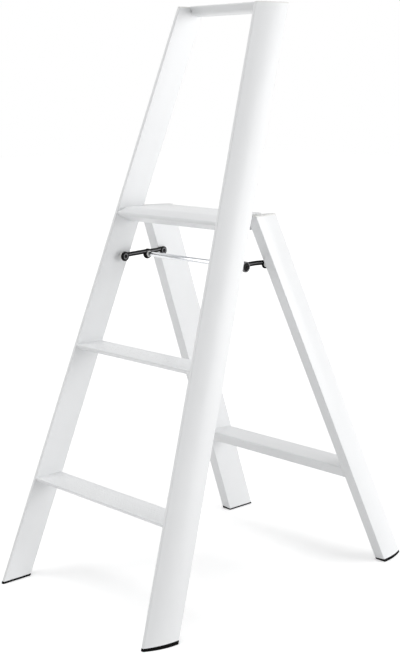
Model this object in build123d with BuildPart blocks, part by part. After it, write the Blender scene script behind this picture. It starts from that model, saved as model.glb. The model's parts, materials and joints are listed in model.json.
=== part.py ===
from build123d import *
from math import asin, atan2, cos, radians, sin, tan
import os

os.makedirs("parts", exist_ok=True)

# Driving dimensions in millimetres: X across the ladder, Y towards its back, Z up from the floor
overall_depth = 769.4
platform_height = 792.2
middle_step_height = 504.3
lower_step_height = 224.5
handrail_height = 1211.1

# Front stiles: level section, how they lean and how far apart they stand
stile_top = 1206.5
stile_lean = 18.82
stile_taper = 5.41
stile_foot_half = 223.1
stile_depth = 71.9
stile_nose = 7
stile_width = 28.2
upright_round = 1.5
upright_wall = 2.2

# Rear legs: level section, how they lean and how far apart they stand
leg_top = 787.2
leg_lean = 23.36
leg_taper = 5.85
leg_foot_half = 230.9
leg_depth = 77.3
leg_width = 26.9
leg_tail = 8.4

# Feet and top caps: the feet are lowest at the uprights' inner faces and rise outwards
front_foot_height = 5.1
rear_foot_height = 4
foot_stock = 12
foot_plug = 22
foot_edge = 1
cap_height = 3
cap_edge = 1
cap_plug = 14
plug_gap = 0.25

# Treads: each one's depth, and the wedge-shaped lip under its front edge
lower_step_depth = 69
middle_step_depth = 71.9
tread_sheet = 3
tread_nose = 3
tread_lip = 11
tread_lip_run = 9
tread_lip_wall = 2.8
tread_back_lip = 14
tread_rib = 11
tread_rib_wall = 2
tread_edge_round = 1.2
groove_pitch = 8.4
groove_width = 0.7
groove_depth = 0.2
groove_count = 7

# Step brackets under the treads' ends: place behind the treads' front edge, sizes, rivets and screws
bracket_reach = 46
bracket_length = 34
bracket_height = 11
bracket_ledge = 16
bracket_overlap = 2
bracket_wall = 2.5
bracket_room = 1
bracket_rivet_drop = 9.5
bracket_rivet_spread = 20
screw_setback = 9
screw_cover = 1.2
screw_end_gap = 0.3

# Platform: a wedge-shaped front beam, a flat top and a back lip
platform_depth = 129.7
platform_half = 147.5
platform_nose = 13.6
platform_nose_round = 3
platform_nose_run = 26
platform_nose_fall = 9.6
platform_nose_blend = 30
platform_ledge = 2
platform_wall = 2.6
beam_toe_drop = 4.5
beam_bottom = 32.3
beam_slope_run = 37.6
beam_back_run = 55
beam_heel_round = 14
beam_web_start = 9.2
platform_back_lip = 16
platform_groove_count = 11
platform_groove_start = 28

# Hinge of the rear legs, in distance behind the front feet and height
hinge_reach = 380.5
hinge_height = 772.2
hinge_bracket_wall = 4
hinge_bracket_round = 13
hinge_bracket_start = 28
hinge_pin_radius = 5
hinge_pin_tail = 3
hinge_pin_head_radius = 8.5
hinge_pin_end_radius = 8
hinge_flange_radius = 11
hinge_rivet_reach = 43
hinge_rivet_drop = 18.5
hinge_rivet_spread = 18
running_gap = 0.06

# Spreader links: pivots in distance behind the front feet and height, and their layers across
front_pivot = (284.5, 685.9)
middle_pivot = (351.2, 685.9)
rear_pivot = (402.3, 687.9)
link_wall = 3
front_link_inner = 144.75
rear_link_inner = 148.25
rear_link_crank = 5.25
crank_start = 0.55
crank_end = 0.85
link_width = 9.5
front_eye_radius = 10.3
bar_eye_radius = 9.2
joint_eye_radius = 10.2
rear_eye_radius = 9.2
front_link_arch = 6
front_link_lift = 2.9
rear_link_arch = 4.6
rear_link_lift = 4
stud_radius = 4
stud_shoulder_radius = 7
stud_head_radius = 6.5
stud_head = 2
stud_tail = 1
link_gap = 0.25
link_rivet_radius = 4
lift_bar_radius = 5.4
collar_radius = 6.8
collar_length = 3

# Handrail: depth of its top, height of its front face and of its turned-under belly
rail_depth = 39.5
rail_setback = 5.6
rail_drop = 22
rail_front_height = 14.5
rail_front_run = 5
rail_belly_run = 7.5
rail_belly_drop = 4
rail_round = 3
rail_wall = 2.4
rail_plug_length = 30
rail_groove = 0.9
rail_groove_run = 1.6
rail_groove_drop = 1.2
rail_hole_radius = 2.2
rail_hole_depth = 6
rail_hole_drop = 10

# Rear brace
brace_height = 229.3
brace_thickness = 24.5
brace_depth = 71.6
brace_wall = 2.2
brace_round = 2.6
brace_plug_length = 34
brace_rivet_spread = 36
brace_rivet_length = 10

# Rivets and screws
rivet_radius = 2
rivet_head_radius = 3.8
rivet_head = 1.4
rivet_tail = 3
rivet_gap = 0.05

# Length that a hole's cutter runs past the wall, and that a bar has before its ends are trimmed
cut_room = 1
trim_room = 1

sides = {"left": -1, "right": 1}
front_line = -overall_depth / 2
stile_slope = tan(radians(stile_lean))
stile_draw = tan(radians(stile_taper))
leg_slope = tan(radians(leg_lean))
leg_draw = tan(radians(leg_taper))
leg_foot_front = overall_depth / 2 - leg_depth


def keep(piece, name):
    """Label a finished piece and write it as its own node."""
    piece.label = name
    export_step(piece, f"parts/{name}.step")


def stile_inner(height):
    """Distance from the middle of the ladder to a stile's inner face."""
    return stile_foot_half - stile_draw * height


def stile_front(height):
    """Place of the stiles' front edge."""
    return front_line + stile_slope * height


def leg_inner(height):
    """Distance from the middle of the ladder to a rear leg's inner face."""
    return leg_foot_half - leg_draw * height


def leg_front(height):
    """Place of the rear legs' front face."""
    return leg_foot_front - leg_slope * height


def stile_face(side, inset=0):
    """Plane of a stile's inner face, moved inwards by inset and facing outwards."""
    return Plane((side * (stile_foot_half - inset), 0, 0), x_dir=(0, 1, 0), z_dir=(side, 0, stile_draw))


def leg_face(side):
    """Plane of a rear leg's inner face, facing outwards."""
    return Plane((side * leg_foot_half, 0, 0), x_dir=(0, 1, 0), z_dir=(side, 0, leg_draw))


def foot_top(side, inner, height, draw):
    """Plane of a foot's top: at a height on the upright's inner face, rising outwards."""
    return Plane((side * inner, 0, height), x_dir=(0, 1, 0), z_dir=(-side * draw, 0, 1))


def bowed_section(side, height, inner, front, depth, front_width, back_width, inset):
    """Level section of an upright: flat inner face, outer face bowed from its wide end to its thin one."""
    wide = max(front_width, back_width)
    drop = abs(front_width - back_width)
    bow = (drop**2 + depth**2) / (2 * drop)
    half_turn = asin(depth / bow) / 2
    run = bow * sin(half_turn)
    middle_x = side * (inner + wide - bow * (1 - cos(half_turn)))
    middle_y = front + (run if front_width > back_width else depth - run)
    front_outer = (side * (inner + front_width), front)
    back_outer = (side * (inner + back_width), front + depth)
    with BuildSketch(Plane.XY.offset(height)) as section:
        with BuildLine():
            Polyline(front_outer, (side * inner, front), (side * inner, front + depth), back_outer)
            ThreePointArc(back_outer, (middle_x, middle_y), front_outer)
        make_face()
        fillet(section.vertices(), radius=upright_round)
        if inset:
            offset(amount=-inset)
    return section.sketch


def stile_section(side, height, inset=0):
    """Section of a front stile at a height, shrunk by inset."""
    inner = stile_inner(height)
    front = stile_front(height)
    return bowed_section(side, height, inner, front, stile_depth, stile_nose, stile_width, inset)


def leg_section(side, height, inset=0):
    """Section of a rear leg at a height, shrunk by inset."""
    inner = leg_inner(height)
    front = leg_front(height)
    return bowed_section(side, height, inner, front, leg_depth, leg_width, leg_tail, inset)


def stile_direction(side):
    """Direction in which a stile rises."""
    return Vector(-side * stile_draw, stile_slope, 1)


def leg_direction(side):
    """Direction in which a rear leg rises."""
    return Vector(-side * leg_draw, -leg_slope, 1)


def bar_corners(start, end, width):
    """Corners of a flat bar that runs from start to end."""
    angle = atan2(end[1] - start[1], end[0] - start[0])
    across = (-sin(angle) * width / 2, cos(angle) * width / 2)
    return [
        (start[0] + across[0], start[1] + across[1]),
        (end[0] + across[0], end[1] + across[1]),
        (end[0] - across[0], end[1] - across[1]),
        (start[0] - across[0], start[1] - across[1]),
    ]


def placed(point):
    """Turn a pivot's distance behind the front feet into its place along Y."""
    return (front_line + point[0], point[1])


hinge = placed((hinge_reach, hinge_height))
front_stud = placed(front_pivot)
middle_joint = placed(middle_pivot)
rear_stud = placed(rear_pivot)
front_link_outer = front_link_inner + link_wall
rear_eye_inner = rear_link_inner + rear_link_crank
rear_eye_outer = rear_eye_inner + link_wall
step_heights = {"lower": lower_step_height, "middle": middle_step_height}
step_depths = {"lower": lower_step_depth, "middle": middle_step_depth}


def rivet_planes(side):
    """Planes at each rivet on a stile's inner face, facing into it: the steps' first, then the hinge's."""
    planes = []
    for height in step_heights.values():
        level = height - bracket_rivet_drop
        for shift in (-bracket_rivet_spread / 2, bracket_rivet_spread / 2):
            spot = (side * stile_inner(level), stile_front(level) + bracket_reach + shift, level)
            planes.append(Plane(spot, x_dir=(0, 1, 0), z_dir=(side, 0, stile_draw)))
    level = platform_height - hinge_rivet_drop
    for shift in (-hinge_rivet_spread / 2, hinge_rivet_spread / 2):
        spot = (side * stile_inner(level), stile_front(level) + hinge_rivet_reach + shift, level)
        planes.append(Plane(spot, x_dir=(0, 1, 0), z_dir=(side, 0, 0)))
    return planes


def front_stud_plane(side):
    """Plane across the spreader's front pivot, facing outwards along X."""
    return Plane((0, *front_stud), x_dir=(0, side, 0), z_dir=(side, 0, 0))


def rear_stud_plane(side):
    """Plane across the spreader's rear pivot, facing outwards along X."""
    return Plane((0, *rear_stud), x_dir=(0, side, 0), z_dir=(side, 0, 0))


def hinge_plane(side):
    """Plane across the rear legs' hinge, facing outwards along X."""
    return Plane((0, *hinge), x_dir=(0, side, 0), z_dir=(side, 0, 0))


# Front stiles with their rubber feet and top caps
for hand, side in sides.items():
    rise = stile_direction(side)
    foot_plane = foot_top(side, stile_inner(front_foot_height), front_foot_height, stile_draw)
    with BuildPart() as stile:
        length = stile_top * rise.length
        extrude(stile_section(side, 0), amount=length, dir=rise)
        extrude(stile_section(side, 0, upright_wall), amount=length, dir=rise, mode=Mode.SUBTRACT)
        split(bisect_by=foot_plane, keep=Keep.TOP)
        for plane in rivet_planes(side):
            with BuildSketch(plane.offset(-cut_room)):
                Circle(rivet_radius + rivet_gap)
            extrude(amount=upright_wall + 2 * cut_room, mode=Mode.SUBTRACT)
        with BuildSketch(front_stud_plane(side).offset(front_link_outer)):
            Circle(stud_radius + rivet_gap)
        stud_reach = stile_inner(front_stud[1]) + upright_wall + stud_tail
        extrude(amount=stud_reach + cut_room - front_link_outer, mode=Mode.SUBTRACT)
    keep(stile.part, f"{hand}_stile")

    with BuildPart() as foot:
        extrude(stile_section(side, 0), amount=foot_stock * rise.length, dir=rise)
        split(bisect_by=foot_plane, keep=Keep.BOTTOM)
        plug = stile_section(side, foot_edge, upright_wall + plug_gap)
        extrude(plug, amount=foot_plug * rise.length, dir=rise)
        chamfer(foot.edges().group_by(Axis.Z)[0], length=foot_edge)
    keep(foot.part, f"{hand}_front_foot")

    with BuildPart() as cap:
        extrude(stile_section(side, stile_top), amount=cap_height * rise.length, dir=rise)
        chamfer(cap.edges().group_by(Axis.Z)[-1], length=cap_edge)
        plug = stile_section(side, stile_top, upright_wall + plug_gap)
        extrude(plug, amount=-cap_plug * rise.length, dir=rise)
    keep(cap.part, f"{hand}_stile_cap")

# Handrail: a hollow bar with a sloping front, a turned-under belly and a fine groove along the turn
rail_back = stile_front(handrail_height) + stile_depth - rail_setback
rail_front = rail_back - rail_depth
rail_belly_height = handrail_height - rail_drop
rail_belly_back = stile_front(rail_belly_height) + stile_depth - rail_setback
rail_turn = (rail_front + rail_front_run, handrail_height - rail_front_height)
rail_profile = [
    (rail_front, handrail_height),
    rail_turn,
    (rail_turn[0] + rail_belly_run, rail_turn[1] - rail_belly_drop),
    (rail_belly_back, rail_belly_height),
    (rail_back, handrail_height),
]
rail_half = stile_inner(rail_belly_height) + trim_room
rail_hole_height = handrail_height - rail_hole_drop
rail_hole_y = rail_front + rail_front_run * rail_hole_drop / rail_front_height


def rail_section(inset):
    """Section of the handrail across its length, shrunk by inset."""
    with BuildSketch(Plane.YZ) as section:
        with BuildLine():
            Polyline(*rail_profile, close=True)
        make_face()
        fillet(section.vertices(), radius=rail_round)
        if inset:
            offset(amount=-inset)
    return section.sketch


with BuildPart() as handrail:
    extrude(rail_section(0), amount=rail_half, both=True)
    extrude(rail_section(rail_wall), amount=rail_half, both=True, mode=Mode.SUBTRACT)
    with BuildSketch(Plane.YZ):
        with Locations((rail_turn[0] + rail_groove_run, rail_turn[1] - rail_groove_drop)):
            Circle(rail_groove)
    extrude(amount=rail_half, both=True, mode=Mode.SUBTRACT)
    for side in sides.values():
        split(bisect_by=stile_face(side), keep=Keep.BOTTOM)
    hole_x = stile_inner(rail_hole_height) - rail_hole_radius
    with BuildSketch(Plane.XZ.offset(-rail_hole_y + rail_hole_depth / 2)):
        with Locations((-hole_x, rail_hole_height), (hole_x, rail_hole_height)):
            Circle(rail_hole_radius)
    extrude(amount=-rail_hole_depth, mode=Mode.SUBTRACT)
keep(handrail.part, "handrail")

for hand, side in sides.items():
    plug_end = stile_inner(rail_belly_height)
    with BuildPart() as rail_plug:
        extrude(rail_section(rail_wall + plug_gap), amount=side * plug_end)
        split(bisect_by=stile_face(side, plug_gap), keep=Keep.BOTTOM)
        inner_end = Plane.YZ.offset(side * (plug_end - rail_plug_length))
        split(bisect_by=inner_end, keep=Keep.TOP if side > 0 else Keep.BOTTOM)
    keep(rail_plug.part, f"{hand}_handrail_plug")

# Lower and middle steps: a finely grooved sheet with a wedge-shaped front lip, two ribs and a back lip
bracket_span = bracket_ledge + 2 * bracket_overlap
for step, height in step_heights.items():
    front = stile_front(height)
    depth = step_depths[step]
    lip_back = front + tread_lip_run
    reach = stile_inner(height - tread_back_lip) + trim_room
    ledge_middle = stile_inner(height) - bracket_ledge / 2
    screw_x = stile_inner(height) - screw_setback
    with BuildPart() as tread:
        with BuildSketch(Plane.YZ) as section:
            with BuildLine():
                Polyline(
                    (front, height),
                    (front, height - tread_nose),
                    (lip_back, height - tread_lip),
                    (lip_back + tread_lip_wall, height - tread_lip),
                    (front + 2 * tread_lip_wall, height - tread_sheet),
                    (front + depth - tread_lip_wall, height - tread_sheet),
                    (front + depth - tread_lip_wall, height - tread_back_lip),
                    (front + depth, height - tread_back_lip),
                    (front + depth, height),
                    close=True,
                )
            make_face()
            fillet(section.vertices().group_by(Axis.Y)[-1], radius=tread_edge_round)
            rib_height = tread_rib - tread_sheet / 2
            with Locations((front + depth / 2, height - tread_rib + rib_height / 2)):
                with GridLocations(depth / 3, 0, 2, 1):
                    Rectangle(tread_rib_wall, rib_height)
            with Locations((front + depth / 2, height)):
                with GridLocations(groove_pitch, 0, groove_count, 1):
                    Rectangle(groove_width, 2 * groove_depth, mode=Mode.SUBTRACT)
        extrude(amount=reach, both=True)
        for side in sides.values():
            split(bisect_by=stile_face(side), keep=Keep.BOTTOM)
            with BuildSketch(Plane.XY.offset(height - tread_rib - cut_room)):
                with Locations((side * ledge_middle, front + bracket_reach)):
                    Rectangle(bracket_span + bracket_room, bracket_length + bracket_room)
            extrude(amount=tread_rib + cut_room - tread_sheet, mode=Mode.SUBTRACT)
            with BuildSketch(Plane.XY.offset(height - tread_sheet)):
                with Locations((side * screw_x, front + bracket_reach)):
                    Circle(rivet_radius + rivet_gap)
            extrude(amount=tread_sheet - screw_cover, mode=Mode.SUBTRACT)
    keep(tread.part, f"{step}_step")

    for hand, side in sides.items():
        under = height - tread_sheet
        with BuildPart() as bracket:
            with BuildSketch(Plane.XY.offset(under)):
                with Locations((side * ledge_middle, front + bracket_reach)):
                    Rectangle(bracket_span, bracket_length)
            extrude(amount=-bracket_wall)
            with BuildSketch(Plane.XZ.offset(-(front + bracket_reach))):
                foot_x = stile_inner(under - bracket_height)
                with BuildLine():
                    Polyline(
                        (side * stile_inner(under), under),
                        (side * (stile_inner(under) - bracket_wall), under),
                        (side * (foot_x - bracket_wall), under - bracket_height),
                        (side * foot_x, under - bracket_height),
                        close=True,
                    )
                make_face()
            extrude(amount=bracket_length / 2, both=True)
            split(bisect_by=stile_face(side), keep=Keep.BOTTOM)
            for plane in rivet_planes(side):
                with BuildSketch(plane.offset(-bracket_wall - cut_room)):
                    Circle(rivet_radius + rivet_gap)
                extrude(amount=bracket_wall + 2 * cut_room, mode=Mode.SUBTRACT)
            with BuildSketch(Plane.XY.offset(under - bracket_wall - cut_room)):
                with Locations((side * screw_x, front + bracket_reach)):
                    Circle(rivet_radius + rivet_gap)
            extrude(amount=bracket_wall + 2 * cut_room, mode=Mode.SUBTRACT)
        keep(bracket.part, f"{step}_step_bracket_{hand}")

# Screws that hold the treads down on their brackets
with BuildPart() as step_screws:
    for height in step_heights.values():
        seat = height - tread_sheet - bracket_wall
        screw_x = stile_inner(height) - screw_setback
        spots = [(side * screw_x, stile_front(height) + bracket_reach) for side in sides.values()]
        with BuildSketch(Plane.XY.offset(seat)):
            with Locations(*spots):
                Circle(rivet_head_radius)
        extrude(amount=-rivet_head)
        with BuildSketch(Plane.XY.offset(seat)):
            with Locations(*spots):
                Circle(rivet_radius)
        extrude(amount=bracket_wall + tread_sheet - screw_cover - screw_end_gap)
keep(step_screws.part, "step_screws")

# Platform: flat grooved top, rounded nose, wedge-shaped front beam and a back lip
nose_front = stile_front(platform_height - platform_nose / 2)
platform_back = nose_front + platform_depth
beam_low = platform_height - beam_bottom
nose_low = platform_height - platform_nose
beam_toe = (nose_front + 2 * platform_ledge, nose_low - beam_toe_drop)
beam_heel = (nose_front + beam_slope_run, beam_low)
beam_back = nose_front + beam_back_run
back_lip_low = platform_height - platform_back_lip
platform_under = platform_height - platform_wall
nose_web = platform_under - platform_nose_fall * (1 - beam_web_start / platform_nose_run)
bracket_inner = platform_half - hinge_bracket_wall
bracket_front = nose_front + hinge_bracket_start
clear_of_stile = stile_front(beam_low) + stile_depth + trim_room

with BuildPart() as platform:
    with BuildSketch(Plane.YZ) as section:
        with BuildLine():
            Polyline(
                (platform_back, platform_height),
                (nose_front + platform_nose_run, platform_height),
                (nose_front, platform_height - platform_nose_fall),
                (nose_front, nose_low),
                (nose_front + platform_ledge, nose_low),
                beam_toe,
                beam_heel,
                (beam_back, beam_low),
                (beam_back, platform_under),
                (platform_back - platform_wall, platform_under),
                (platform_back - platform_wall, back_lip_low),
                (platform_back, back_lip_low),
                close=True,
            )
        make_face()
        fillet(section.vertices().group_by(Axis.X)[0].sort_by(Axis.Y)[-1], radius=platform_nose_round)
        fillet(section.vertices().group_by(Axis.Y)[-1].sort_by(Axis.X)[0], radius=platform_nose_blend)
        fillet(section.vertices().group_by(Axis.Y)[0].sort_by(Axis.X)[0], radius=beam_heel_round)
        with BuildLine():
            Polyline(
                (beam_back - platform_wall, platform_under),
                (nose_front + platform_nose_run, platform_under),
                (nose_front + beam_web_start, nose_web),
                (beam_toe[0] + 2 * platform_wall, beam_toe[1] + platform_wall),
                (beam_heel[0] + platform_wall, beam_low + platform_wall),
                (beam_back - platform_wall, beam_low + platform_wall),
                close=True,
            )
        make_face(mode=Mode.SUBTRACT)
        groove_middle = (nose_front + platform_groove_start + platform_back) / 2
        with Locations((groove_middle, platform_height)):
            with GridLocations(groove_pitch, 0, platform_groove_count, 1):
                Rectangle(groove_width, 2 * groove_depth, mode=Mode.SUBTRACT)
    extrude(amount=stile_inner(beam_low), both=True)
    for side in sides.values():
        split(bisect_by=stile_face(side), keep=Keep.BOTTOM)
        with BuildSketch(Plane.XY.offset(platform_under)):
            with Locations((side * (bracket_inner + platform_depth), bracket_front + platform_depth)):
                Rectangle(2 * platform_depth, 2 * platform_depth)
        extrude(amount=-beam_bottom, mode=Mode.SUBTRACT)
        with BuildSketch(Plane.XY.offset(platform_height)):
            with Locations((side * (platform_half + platform_depth), clear_of_stile + platform_depth)):
                Rectangle(2 * platform_depth, 2 * platform_depth)
        extrude(amount=-beam_bottom, mode=Mode.SUBTRACT)
keep(platform.part, "platform")

# Hinge brackets: end plates that carry the platform on the stiles and reach back to the rear legs' hinge
slope = (beam_heel[1] - beam_toe[1]) / (beam_heel[0] - beam_toe[0])
bracket_toe = (bracket_front + plug_gap, beam_toe[1] + slope * (bracket_front + plug_gap - beam_toe[0]))
for hand, side in sides.items():
    with BuildPart() as hinge_bracket:
        with BuildSketch(Plane.YZ.offset(side * bracket_inner)) as section:
            with BuildLine():
                Polyline(
                    (bracket_toe[0], platform_under),
                    bracket_toe,
                    beam_heel,
                    (hinge[0], hinge[1] - hinge_bracket_round),
                )
                RadiusArc(
                    (hinge[0], hinge[1] - hinge_bracket_round),
                    (hinge[0] + hinge_bracket_round, hinge[1]),
                    -hinge_bracket_round,
                )
                Polyline(
                    (hinge[0] + hinge_bracket_round, hinge[1]),
                    (hinge[0] + hinge_bracket_round, platform_under),
                    (bracket_toe[0], platform_under),
                )
            make_face()
            fillet(section.vertices().sort_by_distance(beam_heel)[0], radius=beam_heel_round)
        extrude(amount=side * platform_depth)
        split(bisect_by=stile_face(side), keep=Keep.BOTTOM)
        with BuildSketch(Plane.XY.offset(platform_height)):
            with Locations((side * (platform_half + platform_depth), clear_of_stile + platform_depth)):
                Rectangle(2 * platform_depth, 2 * platform_depth)
        extrude(amount=-2 * beam_bottom, mode=Mode.SUBTRACT)
        for plane in rivet_planes(side)[2 * len(step_heights):]:
            with BuildSketch(plane.offset(-3 * hinge_bracket_wall)):
                Circle(rivet_radius + rivet_gap)
            extrude(amount=4 * hinge_bracket_wall, mode=Mode.SUBTRACT)
        with BuildSketch(hinge_plane(side).offset(bracket_inner - cut_room)):
            Circle(hinge_pin_radius + rivet_gap)
        extrude(amount=hinge_bracket_wall + 2 * cut_room, mode=Mode.SUBTRACT)
    keep(hinge_bracket.part, f"{hand}_hinge_bracket")

# Rivets that hold the step brackets and hinge brackets to the stiles
with BuildPart() as stile_rivets:
    for side in sides.values():
        for spot, plane in enumerate(rivet_planes(side)):
            on_step = spot < 2 * len(step_heights)
            seat = bracket_wall if on_step else stile_inner(plane.origin.Z) - bracket_inner
            with BuildSketch(plane.offset(-seat)):
                Circle(rivet_radius)
            extrude(amount=seat + upright_wall + rivet_tail)
            with BuildSketch(plane.offset(-seat - rivet_head)):
                Circle(rivet_head_radius)
            extrude(amount=rivet_head)
keep(stile_rivets.part, "stile_rivets")

# Hinge pins: fixed in the brackets, turning in the rear legs, with a head on each end
pin_reach = leg_inner(hinge_height) + upright_wall + hinge_pin_tail
for hand, side in sides.items():
    with BuildPart() as hinge_pin:
        with BuildSketch(hinge_plane(side).offset(bracket_inner - stud_head)):
            Circle(hinge_pin_head_radius)
        extrude(amount=stud_head)
        with BuildSketch(hinge_plane(side).offset(bracket_inner)):
            Circle(hinge_pin_radius)
        extrude(amount=pin_reach - bracket_inner)
        with BuildSketch(hinge_plane(side).offset(pin_reach)):
            Circle(hinge_pin_end_radius)
        extrude(amount=stud_head)
    keep(hinge_pin.part, f"{hand}_hinge_pin")

# Spreader studs on the stiles: a shoulder against the stile, a pin through the link and a flat head
for hand, side in sides.items():
    stud_plane = front_stud_plane(side)
    with BuildPart() as front_pivot_stud:
        with BuildSketch(stud_plane.offset(front_link_outer + link_gap)):
            Circle(stud_shoulder_radius)
        extrude(amount=stile_width)
        split(bisect_by=stile_face(side), keep=Keep.BOTTOM)
        with BuildSketch(stud_plane.offset(front_link_inner - link_gap - stud_head)):
            Circle(stud_head_radius)
        extrude(amount=stud_head)
        with BuildSketch(stud_plane.offset(front_link_inner - link_gap)):
            Circle(stud_radius)
        extrude(amount=stile_inner(front_stud[1]) + upright_wall + stud_tail - front_link_inner)
    keep(front_pivot_stud.part, f"{hand}_front_stud")

# Rear legs with their rubber feet and top caps
for hand, side in sides.items():
    rise = leg_direction(side)
    foot_plane = foot_top(side, leg_inner(rear_foot_height), rear_foot_height, leg_draw)
    with BuildPart() as leg:
        length = leg_top * rise.length
        extrude(leg_section(side, 0), amount=length, dir=rise)
        extrude(leg_section(side, 0, upright_wall), amount=length, dir=rise, mode=Mode.SUBTRACT)
        split(bisect_by=foot_plane, keep=Keep.TOP)
        with BuildSketch(hinge_plane(side).offset(platform_half)):
            Circle(hinge_pin_radius + running_gap)
        extrude(amount=pin_reach - platform_half, mode=Mode.SUBTRACT)
        with BuildSketch(rear_stud_plane(side).offset(rear_eye_outer)):
            Circle(stud_radius + rivet_gap)
        stud_reach = leg_inner(rear_stud[1]) + upright_wall + stud_tail
        extrude(amount=stud_reach + cut_room - rear_eye_outer, mode=Mode.SUBTRACT)
    keep(leg.part, f"{hand}_rear_leg")

    with BuildPart() as foot:
        extrude(leg_section(side, 0), amount=foot_stock * rise.length, dir=rise)
        split(bisect_by=foot_plane, keep=Keep.BOTTOM)
        plug = leg_section(side, foot_edge, upright_wall + plug_gap)
        extrude(plug, amount=foot_plug * rise.length, dir=rise)
        chamfer(foot.edges().group_by(Axis.Z)[0], length=foot_edge)
    keep(foot.part, f"{hand}_rear_foot")

    with BuildPart() as cap:
        extrude(leg_section(side, leg_top), amount=cap_height * rise.length, dir=rise)
        chamfer(cap.edges().group_by(Axis.Z)[-1], length=cap_edge)
        plug = leg_section(side, leg_top, upright_wall + plug_gap)
        extrude(plug, amount=-cap_plug / 2 * rise.length, dir=rise)
    keep(cap.part, f"{hand}_leg_cap")

    with BuildPart() as bush:
        with BuildSketch(hinge_plane(side).offset(platform_half + link_gap)):
            Circle(hinge_flange_radius)
            Circle(hinge_pin_radius + running_gap, mode=Mode.SUBTRACT)
        extrude(amount=leg_width)
        split(bisect_by=leg_face(side), keep=Keep.BOTTOM)
    keep(bush.part, f"{hand}_hinge_bush")

    stud_plane = rear_stud_plane(side)
    with BuildPart() as rear_pivot_stud:
        with BuildSketch(stud_plane.offset(rear_eye_outer + link_gap)):
            Circle(stud_shoulder_radius)
        extrude(amount=leg_width)
        split(bisect_by=leg_face(side), keep=Keep.BOTTOM)
        with BuildSketch(stud_plane.offset(rear_eye_inner - link_gap - stud_head)):
            Circle(stud_head_radius)
        extrude(amount=stud_head)
        with BuildSketch(stud_plane.offset(rear_eye_inner - link_gap)):
            Circle(stud_radius)
        extrude(amount=leg_inner(rear_stud[1]) + upright_wall + stud_tail - rear_eye_inner)
    keep(rear_pivot_stud.part, f"{hand}_rear_stud")

# Rear brace: a flat hollow bar between the legs, with plugs in its ends and rivets from below
brace_low = brace_height - brace_thickness


def brace_section(inset):
    """Section of the rear brace across its length, shrunk by inset."""
    with BuildSketch(Plane.YZ) as section:
        with BuildLine():
            Polyline(
                (leg_front(brace_height), brace_height),
                (leg_front(brace_height) + brace_depth, brace_height),
                (leg_front(brace_low) + brace_depth, brace_low),
                (leg_front(brace_low), brace_low),
                close=True,
            )
        make_face()
        fillet(section.vertices(), radius=brace_round)
        if inset:
            offset(amount=-inset)
    return section.sketch


brace_reach = leg_inner(brace_low) + trim_room
brace_rivet_x = leg_inner(brace_low) - brace_plug_length / 2
brace_rivet_y = leg_front(brace_low) + brace_depth / 2
brace_rivet_spots = [
    (side * brace_rivet_x, brace_rivet_y + shift)
    for side in sides.values()
    for shift in (-brace_rivet_spread / 2, brace_rivet_spread / 2)
]

with BuildPart() as rear_brace:
    extrude(brace_section(0), amount=brace_reach, both=True)
    extrude(brace_section(brace_wall), amount=brace_reach, both=True, mode=Mode.SUBTRACT)
    for side in sides.values():
        split(bisect_by=leg_face(side), keep=Keep.BOTTOM)
    with BuildSketch(Plane.XY.offset(brace_low - cut_room)):
        with Locations(*brace_rivet_spots):
            Circle(rivet_radius + rivet_gap)
    extrude(amount=brace_wall + 2 * cut_room, mode=Mode.SUBTRACT)
keep(rear_brace.part, "rear_brace")

for hand, side in sides.items():
    with BuildPart() as brace_plug:
        extrude(brace_section(brace_wall + plug_gap), amount=side * brace_reach)
        split(bisect_by=leg_face(side), keep=Keep.BOTTOM)
        inner_end = Plane.YZ.offset(side * (leg_inner(brace_low) - brace_plug_length))
        split(bisect_by=inner_end, keep=Keep.TOP if side > 0 else Keep.BOTTOM)
        with BuildSketch(Plane.XY.offset(brace_low)):
            with Locations(*brace_rivet_spots):
                Circle(rivet_radius + rivet_gap)
        extrude(amount=brace_rivet_length + cut_room, mode=Mode.SUBTRACT)
    keep(brace_plug.part, f"{hand}_brace_plug")

with BuildPart() as brace_rivets:
    with BuildSketch(Plane.XY.offset(brace_low)):
        with Locations(*brace_rivet_spots):
            Circle(rivet_head_radius)
    extrude(amount=-rivet_head)
    with BuildSketch(Plane.XY.offset(brace_low)):
        with Locations(*brace_rivet_spots):
            Circle(rivet_radius)
    extrude(amount=brace_rivet_length)
keep(brace_rivets.part, "brace_rivets")

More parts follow.
